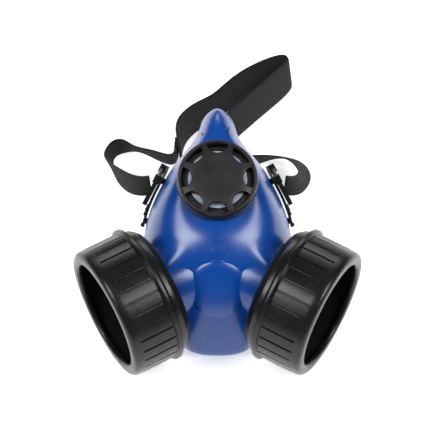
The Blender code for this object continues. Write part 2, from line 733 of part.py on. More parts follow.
def valve_centre():
    return net_place((0, 0, 1000 * VALVE_AT_HEIGHT))


def valve_bore_centre():
    drop = COVER_HEIGHT + GAP + VALVE_BOSS_RISE
    return valve_centre() + drop * np.array((0, math.sin(VALVE_TILT), -math.cos(VALVE_TILT)))


def centre_footprint():
    """Moves the mask frame so that the world origin is under the middle of the whole object's box."""
    bpy.context.view_layer.update()
    graph = bpy.context.evaluated_depsgraph_get()
    points = []
    for part in PARTS.objects:
        if part.type != "MESH":
            continue
        shown = part.evaluated_get(graph)
        mesh = shown.to_mesh()
        local = np.empty(3 * len(mesh.vertices), np.float32)
        mesh.vertices.foreach_get("co", local)
        matrix = np.array(shown.matrix_world)
        points.append(local.reshape(-1, 3) @ matrix[:3, :3].T + matrix[:3, 3])
        shown.to_mesh_clear()
    points = np.concatenate(points)
    low, high = points.min(axis=0), points.max(axis=0)
    MASK.location = (-(low[0] + high[0]) / 2, -(low[1] + high[1]) / 2, -low[2])


PORT_DEPTH = RING_DEPTH + GAP + CUP_H + GAP  # from the ring's mouth to the facepiece's port face
# The felt's outer face, behind the ring's mouth: everything under it is stacked on the cup's floor.
FELT_TOP = -RING_DEPTH - GAP - CUP_FLANGE_T + GASKET_H + FILTER_H + FELT_H + 3 * GAP

clear_scene()
PARTS = new_collection("respirator")
CUTTERS = new_collection("cutters")
MASK = empty("mask_frame", Matrix.Identity(4))
VALVE = empty("valve_frame", tilted(valve_centre(), VALVE_TILT), MASK)
CARTRIDGES = {
    name: empty(
        f"cartridge_frame_{name}", axes(cartridge_mouth(side), cartridge_axis(side), (0, 0, 1)), MASK
    )
    for name, side in SIDES.items()
}
facepiece()
exhalation_valve()
for side_name, side_sign in SIDES.items():
    retaining_ring(side_name, CARTRIDGES[side_name])
    cartridge_cup(side_name, CARTRIDGES[side_name])
    buckle(side_name, side_sign)
head_band()
side_strap("left", -1, LEFT_ROUTE)
side_strap("right", 1, RIGHT_ROUTE)
centre_footprint()
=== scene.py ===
import json
import math

import bmesh
import bpy
import numpy as np
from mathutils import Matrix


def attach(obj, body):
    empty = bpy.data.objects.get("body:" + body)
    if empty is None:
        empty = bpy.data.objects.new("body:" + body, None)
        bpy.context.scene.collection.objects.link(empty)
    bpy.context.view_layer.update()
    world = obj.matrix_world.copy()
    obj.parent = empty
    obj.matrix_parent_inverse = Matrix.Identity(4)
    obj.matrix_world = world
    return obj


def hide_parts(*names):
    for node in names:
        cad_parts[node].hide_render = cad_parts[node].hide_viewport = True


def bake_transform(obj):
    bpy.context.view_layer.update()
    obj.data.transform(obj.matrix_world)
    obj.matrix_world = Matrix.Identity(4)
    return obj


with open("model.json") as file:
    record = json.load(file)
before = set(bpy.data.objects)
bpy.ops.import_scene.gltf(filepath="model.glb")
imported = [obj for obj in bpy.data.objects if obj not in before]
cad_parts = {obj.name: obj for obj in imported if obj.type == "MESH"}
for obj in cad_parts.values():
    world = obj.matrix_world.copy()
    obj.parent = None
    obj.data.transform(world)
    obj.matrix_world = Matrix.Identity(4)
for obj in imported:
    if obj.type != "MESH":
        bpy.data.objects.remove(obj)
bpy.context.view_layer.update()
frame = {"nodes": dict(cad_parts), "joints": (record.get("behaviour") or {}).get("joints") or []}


# ------------------------------------------------------------------------------- where the mask lies
# The mask lies on its face opening with its harness spread out behind the nose.  Its own frame has zero
# on the table under the exhalation valve, +Z forward out of the mask and +Y from the chin to the nose.

GAP = 0.0003  # between pieces that touch
SIDES = {"left": -1, "right": 1}
NECK_SEAT = np.array((0.0329, -0.0403, 0.0431))  # the middle of the right cartridge's seat on the shell
SEAT_FROM_MOUTH = 0.0410
VALVE_HEIGHT = 0.098
VALVE_TILT = math.radians(23)

joints = {joint["name"]: joint for joint in frame["joints"]}
right_ring = joints["ring_right_unscrew"]
MASK = np.array(right_ring["pos_m"]) - NECK_SEAT - SEAT_FROM_MOUTH * np.array(right_ring["axis"])


def basis(origin, out, up=(0, 0, 1)):
    """A place to build at: its zero and its axes as columns, Z along out and X as near up as it can be."""
    z = np.array(out, float) / np.linalg.norm(out)
    x = np.array(up, float) - np.dot(up, z) * z
    x /= np.linalg.norm(x)
    return np.array(origin, float), np.stack([x, np.cross(z, x), z], axis=1)


def put(local, where):
    """Points given in the frame of a place, in the object's frame."""
    return np.asarray(local) @ where[1].T + where[0]


VALVE = basis(MASK + (0, 0, VALVE_HEIGHT), joints["valve_cover_pull"]["axis"], (0, 1, 0))
CARTRIDGES = {
    name: basis(joints[f"ring_{name}_unscrew"]["pos_m"], joints[f"ring_{name}_unscrew"]["axis"])
    for name in SIDES
}


# ------------------------------------------------------------------------------------- table and light
# A pale table in a dark studio, with two tall soft boxes in front of the cheeks and a broad one behind
# the nose, as for a small product shown on white.

FLOOR_SIZE = 1.4
LOOK_DOWN = math.radians(50)  # of the line from the camera to the valve
AIM_LOWER = math.radians(1.533)  # of the camera's own axis below that line
CAMERA_AWAY = 0.9
LENS_MM = 125.3
STUDIO_LOW = (0.16, 0.16, 0.17, 1)
STUDIO_HIGH = (0.06, 0.06, 0.065, 1)
STUDIO_HIGH_FROM = 0.45  # on the ramp from straight down to straight up
TABLE_WHITE = (0.93, 0.93, 0.93, 1)
TABLE_GLOW = 0.62
BOXES_AIM = 0.05  # above the table
BOXES = {  # place from the mask, width and height, and watts
    "box_left": ((-0.62, -0.35, 0.95), (0.36, 0.62), 8),
    "box_right": ((0.62, -0.35, 0.95), (0.36, 0.62), 8),
    "box_back": ((0, 1.15, 0.75), (1.2, 0.5), 6),
}


def node(tree, kind, **values):
    """A shader node of that kind; values set its own settings by name."""
    made = tree.nodes.new(kind)
    for key, value in values.items():
        setattr(made, key, value)
    return made


def soft_box(name, at, towards, size, watts):
    """A rectangular light at a place, facing another."""
    data = bpy.data.lights.new(name, "AREA")
    data.shape = "RECTANGLE"
    data.size, data.size_y = size
    data.energy = watts
    lamp = bpy.data.objects.new(name, data)
    bpy.context.scene.collection.objects.link(lamp)
    origin, turn = basis(at, np.array(at, float) - towards)
    columns = np.stack([turn[:, 1], turn[:, 0], turn[:, 2]], axis=1) * (-1, 1, 1)
    lamp.matrix_world = np.block([[columns, origin[:, None]], [np.zeros((1, 3)), np.ones((1, 1))]]).T.tolist()


def surround():
    """A dark studio, a little lighter low down than overhead."""
    world = bpy.data.worlds.new("studio")
    bpy.context.scene.world = world
    world.use_nodes = True
    tree = world.node_tree
    place = node(tree, "ShaderNodeTexCoord")
    split = node(tree, "ShaderNodeSeparateXYZ")
    ramp = node(tree, "ShaderNodeValToRGB")
    ramp.color_ramp.elements[0].position = 0.0
    ramp.color_ramp.elements[0].color = STUDIO_LOW
    ramp.color_ramp.elements[1].position = STUDIO_HIGH_FROM
    ramp.color_ramp.elements[1].color = STUDIO_HIGH
    tree.links.new(place.outputs["Generated"], split.inputs[0])
    tree.links.new(split.outputs["Z"], ramp.inputs["Fac"])
    tree.links.new(ramp.outputs["Color"], tree.nodes["Background"].inputs["Color"])
    tree.nodes["Background"].inputs["Strength"].default_value = 1.0


def table():
    """A flat pale table top, with its top face where the mask rests."""
    data = bpy.data.meshes.new("table")
    half = FLOOR_SIZE / 2
    corners = [(-half, -half, 0), (half, -half, 0), (half, half, 0), (-half, half, 0)]
    data.from_pydata(corners, [], [(0, 1, 2, 3)])
    top = bpy.data.objects.new("table", data)
    bpy.context.scene.collection.objects.link(top)
    white = bpy.data.materials.new("pale_table")
    white.use_nodes = True
    shader = white.node_tree.nodes["Principled BSDF"]
    shader.inputs["Base Color"].default_value = TABLE_WHITE
    shader.inputs["Roughness"].default_value = 0.9
    shader.inputs["Specular IOR Level"].default_value = 0.1
    shader.inputs["Emission Color"].default_value = (1, 1, 1, 1)
    shader.inputs["Emission Strength"].default_value = TABLE_GLOW
    data.materials.append(white)


def camera():
    """A long lens in front of the chin, looking down at the valve."""
    data = bpy.data.cameras.new("camera")
    data.lens = LENS_MM
    made = bpy.data.objects.new("camera", data)
    bpy.context.scene.collection.objects.link(made)
    back = CAMERA_AWAY * np.array((0, -math.cos(LOOK_DOWN), math.sin(LOOK_DOWN)))
    made.location = MASK + (0, 0, VALVE_HEIGHT) + back
    made.rotation_euler = (math.pi / 2 - LOOK_DOWN - AIM_LOWER, 0, 0)
    bpy.context.scene.camera = made


camera()
surround()
table()
for box_name, (box_at, box_size, watts) in BOXES.items():
    soft_box(box_name, MASK + box_at, MASK + (0, 0, BOXES_AIM), box_size, watts)
bpy.context.scene.view_settings.view_transform = "Standard"


# ------------------------------------------------------------------------------------------- facepiece
# One glossy cobalt-blue rubber moulding: a pear-shaped shell with a turned-in seal, a boss for each of the
# two cartridges, a ring round the valve, a blanked third port over the chin and a plain round mould mark.

WALL = 0.0025
LIP_OUT = 0.4  # of the wall, the rounding of the seal's edge
BORE_R = 0.0170
BORE_DROP = 0.0111  # from the cover's outer face down to the shell's bore
SHELL_AROUND, SHELL_DOWN, SHELL_INSIDE = 240, 120, 36  # points round, down outside, up inside
SHELL_SHARP = 60  # degrees between faces that still look smooth
FLARE_R = 0.0205  # the FLARE values are those that flared() describes
FLARE_TOP = 0.0012  # behind the seat
FLARE_SLOPE = 2.4  # depth behind the seat over distance from its edge
FLARE_BLEND = 0.0060
FLARE_REACH = (0.0230, 0.0100)
FLARE_FROM = (0.0150, 0.0240)
PORT_BOSS_R = 0.0213
PORT_BOSS_L = 0.0200
PORT_BORE_R = 0.0169
PORT_BORE_L = 0.0055
PORT_ROOM_R = 0.0198  # behind the bore, round the neck's clamp
# Places on the shell: the angle from the nose, and the share of the way from bore to seal.
BLANK_AT = (math.pi, 0.300)
LUG_AT = (math.pi, 0.188)
MARK_AT = (math.pi, 0.1225)
MARK_RINGS = ((0.0077, 0.00025), (0.0049, 0.00025), (0.0037, 0.0002), (0.0025, 0.0002))  # radius, height
MARK_RING_W = 0.0005
SLITS = {"left": (math.radians(-41), 0.232), "right": (math.radians(33), 0.195)}
SLIT_SIZE = (0.0085, 0.0014)
NOSE_TILT = math.radians(40)
NOSE_WAY = (math.cos(NOSE_TILT), math.sin(NOSE_TILT))  # along the nose in the mirror plane, as Y and Z
# Places along that way from the valve in millimetres, and the factor that the shell's width takes there.
NOSE_WIDTH = ((6, 15, 20, 24, 27.5, 31, 34, 38, 44), (1, 0.93, 0.88, 0.85, 0.89, 1.0, 1.12, 1.3, 1.4))
PATCH_SIZE, GRAIN_SIZE = 40.0, 1500.0  # of the moulded finish, as noise scales
PATCH_RANGE = (0.35, 0.65)
GRAIN_DEPTH = 0.0002
# Outer face from bore to seal in millimetres, in five directions from the nose round to the chin.
SHELL_NET = {
    0: [(0, 28, 99), (0, 43, 102.5), (0, 59, 97), (0, 67, 80), (0, 73, 60), (0, 69, 50), (0, 58, 48)],
    45: [(12, 24, 96), (11.5, 36, 95), (17, 48.5, 77.5), (26, 54, 46), (31, 55, 18), (30, 52, 10),
         (24, 46, 12)],
    90: [(26, 0, 88), (37, 3, 70), (45, 9, 44), (47, 14, 20), (46.5, 16, 3), (42, 15, 0), (33, 13, 4)],
    135: [(22, -20, 80), (32, -31, 66), (34, -42, 42), (32, -49, 20), (29, -51, 3), (26, -46, 0),
          (20, -38, 4)],
    180: [(0, -28, 80), (0, -45, 65), (0, -58, 42), (0, -66, 20), (0, -67, 3), (0, -61, 0), (0, -51, 4)],
}


def material(name, colour, roughness, **sockets):
    """A Principled material with plain values; colour and roughness are linked later by the finish."""
    made = bpy.data.materials.new(name)
    made.use_nodes = True
    shader = made.node_tree.nodes["Principled BSDF"]
    shader.inputs["Base Color"].default_value = (*colour, 1)
    shader.inputs["Roughness"].default_value = roughness
    for socket, value in sockets.items():
        shader.inputs[socket.replace("_", " ")].default_value = value
    return made


def node_group(name, inputs, outputs):
    """A node group of number sockets, with each input's first value, and the group's two end nodes."""
    group = bpy.data.node_groups.new(name, "ShaderNodeTree")
    for socket, value in inputs.items():
        made = group.interface.new_socket(socket, in_out="INPUT", socket_type="NodeSocketFloat")
        made.default_value = value
    for socket in outputs:
        group.interface.new_socket(socket, in_out="OUTPUT", socket_type="NodeSocketFloat")
    return group, node(group, "NodeGroupInput"), node(group, "NodeGroupOutput")


def moulding_group():
    """Node group: Patches, a slow cloud over the surface, and Grain, the fine texture of a moulding tool."""
    sizes = {"Patch Size": PATCH_SIZE, "Grain Size": GRAIN_SIZE}
    group, inside, outside = node_group("moulded_surface", sizes, ("Patches", "Grain"))
    place = node(group, "ShaderNodeTexCoord")
    for size, output, detail in (("Patch Size", "Patches", 3), ("Grain Size", "Grain", 2)):
        noise = node(group, "ShaderNodeTexNoise")
        noise.inputs["Detail"].default_value = detail
        group.links.new(place.outputs["Object"], noise.inputs["Vector"])
        group.links.new(inside.outputs[size], noise.inputs["Scale"])
        group.links.new(noise.outputs["Fac"], outside.inputs[output])
    return group


MOULDED = moulding_group()


def moulded(made, second_colour, roughness, bump, patch_size=PATCH_SIZE, grain_size=GRAIN_SIZE):
    """Gives a material the moulded finish: two close colours and two roughnesses in patches, and grain."""
    tree = made.node_tree
    shader = tree.nodes["Principled BSDF"]
    finish = node(tree, "ShaderNodeGroup", node_tree=MOULDED)
    finish.inputs["Patch Size"].default_value = patch_size
    finish.inputs["Grain Size"].default_value = grain_size
    tint = node(tree, "ShaderNodeMix", data_type="RGBA")
    tint.inputs["A"].default_value = shader.inputs["Base Color"].default_value
    tint.inputs["B"].default_value = (*second_colour, 1)
    gloss = node(tree, "ShaderNodeMapRange")
    gloss.inputs["From Min"].default_value, gloss.inputs["From Max"].default_value = PATCH_RANGE
    gloss.inputs["To Min"].default_value, gloss.inputs["To Max"].default_value = roughness
    relief = node(tree, "ShaderNodeBump")
    relief.inputs["Strength"].default_value = bump
    relief.inputs["Distance"].default_value = GRAIN_DEPTH
    tree.links.new(finish.outputs["Patches"], tint.inputs["Factor"])
    tree.links.new(tint.outputs["Result"], shader.inputs["Base Color"])
    tree.links.new(finish.outputs["Patches"], gloss.inputs["Value"])
    tree.links.new(gloss.outputs["Result"], shader.inputs["Roughness"])
    tree.links.new(finish.outputs["Grain"], relief.inputs["Height"])
    tree.links.new(relief.outputs["Normal"], shader.inputs["Normal"])
    return made


BLUE = moulded(
    material("cobalt_rubber", (0.0004, 0.054, 0.30), 0.25, Coat_Weight=0.2, Coat_Roughness=0.2),
    (0.0006, 0.063, 0.34), (0.25, 0.33), 0.10,
)
# Painted shade: the slots are the shell's own blue rubber, coloured near-black blue as if shadowed deep
# inside.
SHADOW_BLUE = moulded(
    material("painted_shade_slot", (0.001, 0.008, 0.04), 0.5), (0.001, 0.010, 0.05), (0.45, 0.55), 0.05
)


def spline_weights(count, along):
    """Weights of a clamped cubic B-spline's control points, one row for each place along it, 0 to 1."""
    knots = np.concatenate([[0] * 3, np.linspace(0, 1, count - 2), [1] * 3])
    at = np.minimum(along, 1 - 1e-12)[:, None]
    weights = ((at >= knots[:-1]) & (at < knots[1:])).astype(float)
    for degree in (1, 2, 3):
        first, last = knots[:-degree], knots[degree:]
        span = np.where(last > first, last - first, 1)
        ramp = np.where(last > first, (at - first) / span, 0)
        rise, fall = ramp[:, :-1], np.where((last > first)[1:], 1 - ramp[:, 1:], 0)
        weights = rise * weights[:, :-1] + fall * weights[:, 1:]
    return weights


def smooth_step(value):
    """0 up to value 0, 1 from value 1, and 3v^2 - 2v^3 between them."""
    value = np.clip(value, 0, 1)
    return value * value * (3 - 2 * value)


def flared(points):
    """The shell drawn out to the cartridges.  Outside FLARE_R of a cartridge's axis a cone falls away from
    its seat at FLARE_SLOPE, and shell and cone are joined by a smooth maximum of their depths behind the
    seat, max(a, b) + k/4 (1 - |a - b|/k)^2, which fades out between the two depths of FLARE_REACH and
    between the two distances of FLARE_FROM from the mask's middle."""
    for side in SIDES.values():
        out = np.array(right_ring["axis"]) * (side, 1, 1)
        offset = points - NECK_SEAT * (side, 1, 1)
        depth = offset @ out
        radius = np.linalg.norm(offset - depth[..., None] * out, axis=-1)
        cone = -FLARE_TOP - FLARE_SLOPE * np.maximum(radius - FLARE_R, 0)
        near = np.maximum(1 - np.abs(depth - cone) / FLARE_BLEND, 0)
        joined = np.minimum(np.maximum(depth, cone) + FLARE_BLEND / 4 * near**2, -FLARE_TOP)
        fade = smooth_step((depth + FLARE_REACH[0]) / (FLARE_REACH[0] - FLARE_REACH[1]))
        fade = fade * smooth_step((side * points[..., 0] - FLARE_FROM[0]) / (FLARE_FROM[1] - FLARE_FROM[0]))
        points = points + (fade * (joined - depth))[..., None] * out
    return points


def shell(angle, along):
    """Points of the outer face at angles from the nose and shares of the way from bore to seal: a B-spline
    down each of the five directions, and a trigonometric blend of the five round the mask."""
    angle, along = np.broadcast_arrays(np.asarray(angle, float), np.asarray(along, float))
    shape = angle.shape
    angle, along = angle.ravel(), along.ravel()
    lean = np.array((0, math.cos(VALVE_TILT), math.sin(VALVE_TILT)))
    down = np.array((0, math.sin(VALVE_TILT), -math.cos(VALVE_TILT)))
    known = np.radians(list(SHELL_NET))
    spokes = np.cos(known)[:, None] * lean + np.sin(known)[:, None] * np.array((1, 0, 0))
    rims = np.array((0, 0, VALVE_HEIGHT)) + BORE_DROP * down + BORE_R * spokes
    net = np.concatenate([rims[:, None], 0.001 * np.array(list(SHELL_NET.values()))], axis=1)
    even = np.cos(np.outer(angle, np.arange(5))) @ np.linalg.inv(np.cos(np.outer(known, np.arange(5))))
    sines = np.sin(np.outer(known[1:4], np.arange(1, 4)))
    odd = np.sin(np.outer(angle, np.arange(1, 4))) @ np.linalg.inv(sines)
    weights = spline_weights(net.shape[1], along)
    x = np.einsum("na,nk,ak->n", odd, weights, net[1:4, :, 0])
    y, z = np.einsum("na,nk,akc->cn", even, weights, net[..., 1:])
    along_nose = 1000 * (NOSE_WAY[0] * y + NOSE_WAY[1] * (z - VALVE_HEIGHT))
    x = x * np.interp(along_nose, *NOSE_WIDTH)
    return flared(np.stack([x, y, z], axis=-1)).reshape(*shape, 3)


def shell_lean(angle, along):
    """Directions of the outer face at those places: round it, down it and out of it."""
    step = 1e-4
    before, after = np.clip(np.subtract(along, step), 0, 1), np.clip(np.add(along, step), 0, 1)
    round_it = (shell(np.add(angle, step), along) - shell(angle, along)) / step
    down = (shell(angle, after) - shell(angle, before)) / np.expand_dims(after - before, -1)
    out = np.cross(round_it, down)
    return round_it, down, out / np.linalg.norm(out, axis=-1, keepdims=True)


def on_shell(at, across, down, lift):
    """Points on the outer face at distances across and down from a place on it, raised by lift.  The place's
    angle and share are moved until the face point stands over the wanted one, by Newton steps."""
    round_it, slope, out = shell_lean(*at)
    centre = shell(*at)
    x_axis = np.cross(slope, out)
    x_axis /= np.linalg.norm(x_axis)
    y_axis = np.cross(out, x_axis)
    inverse = np.linalg.inv([[round_it @ x_axis, slope @ x_axis], [round_it @ y_axis, slope @ y_axis]])
    wanted = np.stack([across, down], axis=-1)
    places = np.array(at) + wanted @ inverse.T
    for _ in range(8):
        offset = shell(places[..., 0], places[..., 1]) - centre
        places = places + (wanted - np.stack([offset @ x_axis, offset @ y_axis], axis=-1)) @ inverse.T
    points = shell(places[..., 0], places[..., 1])
    return points + np.asarray(lift)[..., None] * shell_lean(places[..., 0], places[..., 1])[2]


def skin(grid, round_u=False, round_v=False):
    """Quads over a (u, v, 3) grid of points.  round_u and round_v close it along that direction."""
    index = np.arange(grid.shape[0] * grid.shape[1]).reshape(grid.shape[:2])
    if round_u:
        index = np.vstack([index, index[:1]])
    if round_v:
        index = np.hstack([index, index[:, :1]])
    quads = np.stack([index[:-1, :-1], index[1:, :-1], index[1:, 1:], index[:-1, 1:]], axis=-1)
    return grid.reshape(-1, 3), quads.reshape(-1, 4)


def together(*skins):
    """Several skins as one."""
    starts = np.cumsum([0] + [len(points) for points, _ in skins[:-1]])
    points = np.concatenate([points for points, _ in skins])
    return points, np.concatenate([quads + start for (_, quads), start in zip(skins, starts)])


def solid_mesh(name, surface, uv=None, merge=True):
    """A mesh of the surface's quads, its doubles merged and its faces turned outwards.  uv goes by point."""
    points, quads = surface
    data = bpy.data.meshes.new(name)
    data.from_pydata(points.tolist(), [], quads.tolist())
    if uv is not None:
        corners = np.empty(len(data.loops), int)
        data.loops.foreach_get("vertex_index", corners)
        data.uv_layers.new(name="along").data.foreach_set("uv", uv[corners].ravel())
    work = bmesh.new()
    work.from_mesh(data)
    if merge:
        bmesh.ops.remove_doubles(work, verts=work.verts, dist=1e-7)
    bmesh.ops.recalc_face_normals(work, faces=work.faces)
    work.to_mesh(data)
    work.free()
    return data


def piece(name, surface, look, body="mask", stands_for=(), sharp=40, uv=None, merge=True):
    """A smooth object of the surface in one look.  It rides on a body, unless that is None."""
    data = solid_mesh(name, surface, uv, merge)
    data.shade_smooth()
    data.set_sharp_from_angle(angle=math.radians(sharp))
    data.materials.append(look)
    made = bpy.data.objects.new(name, data)
    bpy.context.scene.collection.objects.link(made)
    if stands_for:
        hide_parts(*stands_for)
    if body:
        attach(made, body)
    return made


def rounded(corners, steps=5):
    """A closed outline of (radius, height, rounding) corners, each replaced by an arc of that rounding."""
    ends = np.array([corner[:2] for corner in corners])
    outline = []
    for i, (_, _, rounding) in enumerate(corners):
        here = ends[i]
        back, on = ends[i - 1] - here, ends[(i + 1) % len(ends)] - here
        longest = 0.49 * min(np.linalg.norm(back), np.linalg.norm(on))
        back, on = back / np.linalg.norm(back), on / np.linalg.norm(on)
        half = math.acos(np.clip(back @ on, -1, 1)) / 2
        reach = min(rounding / math.tan(half), longest) if half < 1.55 else 0
        if reach <= 0:
            outline.append(here)
            continue
        radius, sweep = reach * math.tan(half), math.pi - 2 * half
        centre = here + (back + on) / np.linalg.norm(back + on) * radius / math.sin(half)
        start, end = here + back * reach - centre, here + on * reach - centre
        share = np.linspace(0, 1, steps)[:, None]
        arc = (np.sin((1 - share) * sweep) * start + np.sin(share * sweep) * end) / math.sin(sweep)
        outline.extend(centre + arc)
    return np.array(outline)


def turned(outline, where, angles=128):
    """The skin of a closed (radius, height) outline turned about a place's Z.  angles: a number or a list."""
    turn = np.linspace(0, 2 * math.pi, angles, endpoint=False) if np.isscalar(angles) else np.asarray(angles)
    radius, height = np.asarray(outline).T
    flat = [np.outer(np.cos(turn), radius), np.outer(np.sin(turn), radius), np.tile(height, (len(turn), 1))]
    return skin(put(np.stack(flat, axis=-1), where), True, True)


def bored(made, where):
    """Cuts the room for a cartridge's neck out of the shell."""
    low, high = -SEAT_FROM_MOUTH - PORT_BOSS_L, -SEAT_FROM_MOUTH + WALL
    room = turned([(0, high), (PORT_ROOM_R, high), (PORT_ROOM_R, low), (0, low)], where, 64)
    cutter = bpy.data.objects.new("port_cutter", solid_mesh("port_cutter", room))
    bpy.context.scene.collection.objects.link(cutter)
    cut = made.modifiers.new("port", "BOOLEAN")
    cut.operation, cut.object, cut.solver = "DIFFERENCE", cutter, "MANIFOLD"
    bpy.context.view_layer.update()
    whole = bpy.data.meshes.new_from_object(made.evaluated_get(bpy.context.evaluated_depsgraph_get()))
    made.modifiers.clear()
    made.data = whole
    bpy.data.objects.remove(cutter)


def facepiece_shell():
    """The outer face, and the inner face WALL behind it, joined round the bore and round the seal."""
    angles = np.linspace(0, 2 * math.pi, SHELL_AROUND, endpoint=False)[:, None]
    outside = shell(angles, np.linspace(0, 1, SHELL_DOWN)[None])
    shares = np.linspace(1, 0, SHELL_INSIDE)[None]
    inward = shell_lean(angles + 0 * shares, shares + 0 * angles)[2]
    inside = shell(angles, shares) - WALL * inward
    onward = outside[:, -1] - outside[:, -2]
    middle = (outside[:, -1] + inside[:, 0]) / 2
    lip = middle + LIP_OUT * WALL * onward / np.linalg.norm(onward, axis=-1, keepdims=True)
    grid = np.concatenate([outside, lip[:, None], inside], axis=1) + MASK
    surface = skin(grid, True, True)
    made = piece(
        "facepiece_shell", surface, BLUE, stands_for=["facepiece"], sharp=SHELL_SHARP
    )
    for where in CARTRIDGES.values():
        bored(made, where)
    made.data.shade_smooth()
    made.data.set_sharp_from_angle(angle=math.radians(SHELL_SHARP))


facepiece_shell()
for side_name, where in CARTRIDGES.items():
    top, step, foot = np.array((0, -PORT_BORE_L, -PORT_BOSS_L)) - SEAT_FROM_MOUTH
    port_boss = rounded(
        [
            (PORT_BORE_R, top, 0.0003), (PORT_BOSS_R, top, 0.0012), (PORT_BOSS_R, foot, 0.0005),
            (PORT_ROOM_R, foot, 0.0005), (PORT_ROOM_R, step, 0.0003), (PORT_BORE_R, step, 0.0003),
        ]
    )
    piece(f"port_boss_{side_name}", turned(port_boss, where, 96), BLUE)
valve_ring = [
    (0.0150, -0.0093, 0.0004), (0.0226, -0.0093, 0.0012), (0.0232, -0.0130, 0.0010),
    (0.0226, -0.0193, 0.0008), (0.0150, -0.0193, 0.0008),
]
piece("valve_seat_moulding", turned(rounded(valve_ring), VALVE, 128), BLUE)


def pillow(size, where, power=5.0, across=40, over=24):
    """A block with soft edges: the superellipsoid |x/a|^p + |y/b|^p + |z/c|^p = 1."""
    turn = np.linspace(-math.pi, math.pi, across, endpoint=False)[:, None]
    rise = np.linspace(-math.pi / 2, math.pi / 2, over)[None]
    way = [np.cos(rise) * np.cos(turn), np.cos(rise) * np.sin(turn), np.sin(rise) + 0 * turn]
    way = np.stack(way, axis=-1)
    reach = (np.abs(way) ** power).sum(axis=-1, keepdims=True) ** (-1 / power)
    return skin(put(way * reach * np.array(size) / 2, where), round_u=True)


def raised_ring(radius, width, height, steps=96):
    """A half-round bead laid in a circle on the shell round the mould mark."""
    turn = np.linspace(0, 2 * math.pi, steps, endpoint=False)[:, None]
    roll = np.linspace(0, 2 * math.pi, 10, endpoint=False)[None]
    reach = radius + width / 2 * np.cos(roll)
    across, down = reach * np.cos(turn), reach * np.sin(turn)
    return skin(on_shell(MARK_AT, across, down, height * np.sin(roll) + 0 * turn), True, True)


def raised_pad(at, size, height, power):
    """A low pad on the shell with a superellipse outline, its height falling off as 1 - share^8."""
    turn = np.linspace(0, 2 * math.pi, 96, endpoint=False)[:, None]
    reach = np.abs(np.cos(turn) / size[0]) ** power + np.abs(np.sin(turn) / size[1]) ** power
    reach = reach ** (-1 / power)
    share = np.concatenate([np.linspace(0, 0.8, 5), np.linspace(0.84, 1, 8), np.linspace(1, 0, 4)])[None]
    lift = height * (1 - share**8) + 0 * turn
    lift[:, 13:] = -3 * height
    return skin(on_shell(at, reach * share * np.cos(turn), reach * share * np.sin(turn), lift), round_u=True)


def slit(at, size):
    """A shallow slot, an ellipse laid on the shell, which is then coloured with painted shade."""
    turn = np.linspace(0, 2 * math.pi, 48, endpoint=False)[:, None]
    share = np.array([0, 0.5, 0.9, 1.0, 1.0, 0.5, 0.0])[None]
    lift = np.array([0.00012, 0.00012, 0.0001, 0.00004, -0.0004, -0.0004, -0.0004])[None] + 0 * turn
    across, down = size[1] / 2 * share * np.sin(turn), size[0] / 2 * share * np.cos(turn)
    return skin(on_shell(at, across, down, lift), round_u=True)


def laid(name, surface, look):
    """A piece made on the shell, moved to where the mask is."""
    piece(name, (surface[0] + MASK, surface[1]), look)


mark_rings = [raised_ring(radius, MARK_RING_W, height) for radius, height in MARK_RINGS]
laid("mould_mark", together(*mark_rings, raised_pad(MARK_AT, (0.0014, 0.0014), 0.0003, 2)), BLUE)
laid("blank_port_moulding", raised_pad(BLANK_AT, (0.0180, 0.0180), 0.0010, 2), BLUE)
laid("moulded_lug", raised_pad(LUG_AT, (0.0036, 0.0031), 0.00035, 5), BLUE)
# The slots are shallow; their dark colour is painted shade.
for side_name, at in SLITS.items():
    laid(f"moulded_slot_{side_name}", slit(at, SLIT_SIZE), SHADOW_BLUE)


# ------------------------------------------------------------------------------------ exhalation valve
# A black snap-on cover, a ring with an eight-armed star over it, guards a pale silicone flap that lifts
# off a black stepped seat when the wearer breathes out.

COVER_HEIGHT = 0.0090
STAR_ARMS = 8
STAR_ARM_W = 0.0034
STAR_TOP = 0.0002  # of its middle, above the cover's outer face
STAR_PLATE = 0.0018
STAR_FALL = 0.0011  # of the arms' ends below the middle
STAR_FALL_FROM = 0.0150  # from the valve's axis
STAR_R = 0.0225
BITE_AT = 0.0222  # from the valve's axis to the middle of the round bite between two arms
BITE = BITE_AT * math.sin(math.pi / STAR_ARMS) - STAR_ARM_W / 2
FLAP_R = 0.0178
SPOKE_W, SPOKE_T, HUB_R = 0.0016, 0.0018, 0.0038  # of the spiders under the flaps

SATIN_BLACK = moulded(
    material("satin_black_plastic", (0.009, 0.009, 0.010), 0.4, Specular_IOR_Level=0.38),
    (0.015, 0.015, 0.016), (0.33, 0.46), 0.35, patch_size=70, grain_size=2600,
)
SILICONE = moulded(
    material("pale_silicone", (0.33, 0.38, 0.46), 0.4, Subsurface_Weight=0.15, Subsurface_Scale=0.002),
    (0.42, 0.47, 0.55), (0.32, 0.46), 0.08,
)


def star_outline():
    """The star's edge: between arms it follows a circular bite out to STAR_R, where the bite's roll obeys
    the law of cosines, and each arm then ends on the circle of STAR_R."""
    widest = math.acos((BITE_AT**2 + BITE**2 - STAR_R**2) / (2 * BITE_AT * BITE))
    roll = np.linspace(-widest, widest, 33)
    bite = np.stack([BITE_AT - BITE * np.cos(roll), BITE * np.sin(roll)], axis=-1)
    reach = math.atan2(bite[-1, 1], bite[-1, 0])
    arm = np.linspace(reach, 2 * math.pi / STAR_ARMS - reach, 7)[1:-1]
    sector = np.concatenate([bite, STAR_R * np.stack([np.cos(arm), np.sin(arm)], axis=-1)])
    turns = 2 * math.pi * np.arange(STAR_ARMS) / STAR_ARMS
    spin = np.stack([np.cos(turns), -np.sin(turns), np.sin(turns), np.cos(turns)], axis=-1).reshape(-1, 2, 2)
    return np.einsum("kab,nb->kna", spin, sector).reshape(-1, 2)


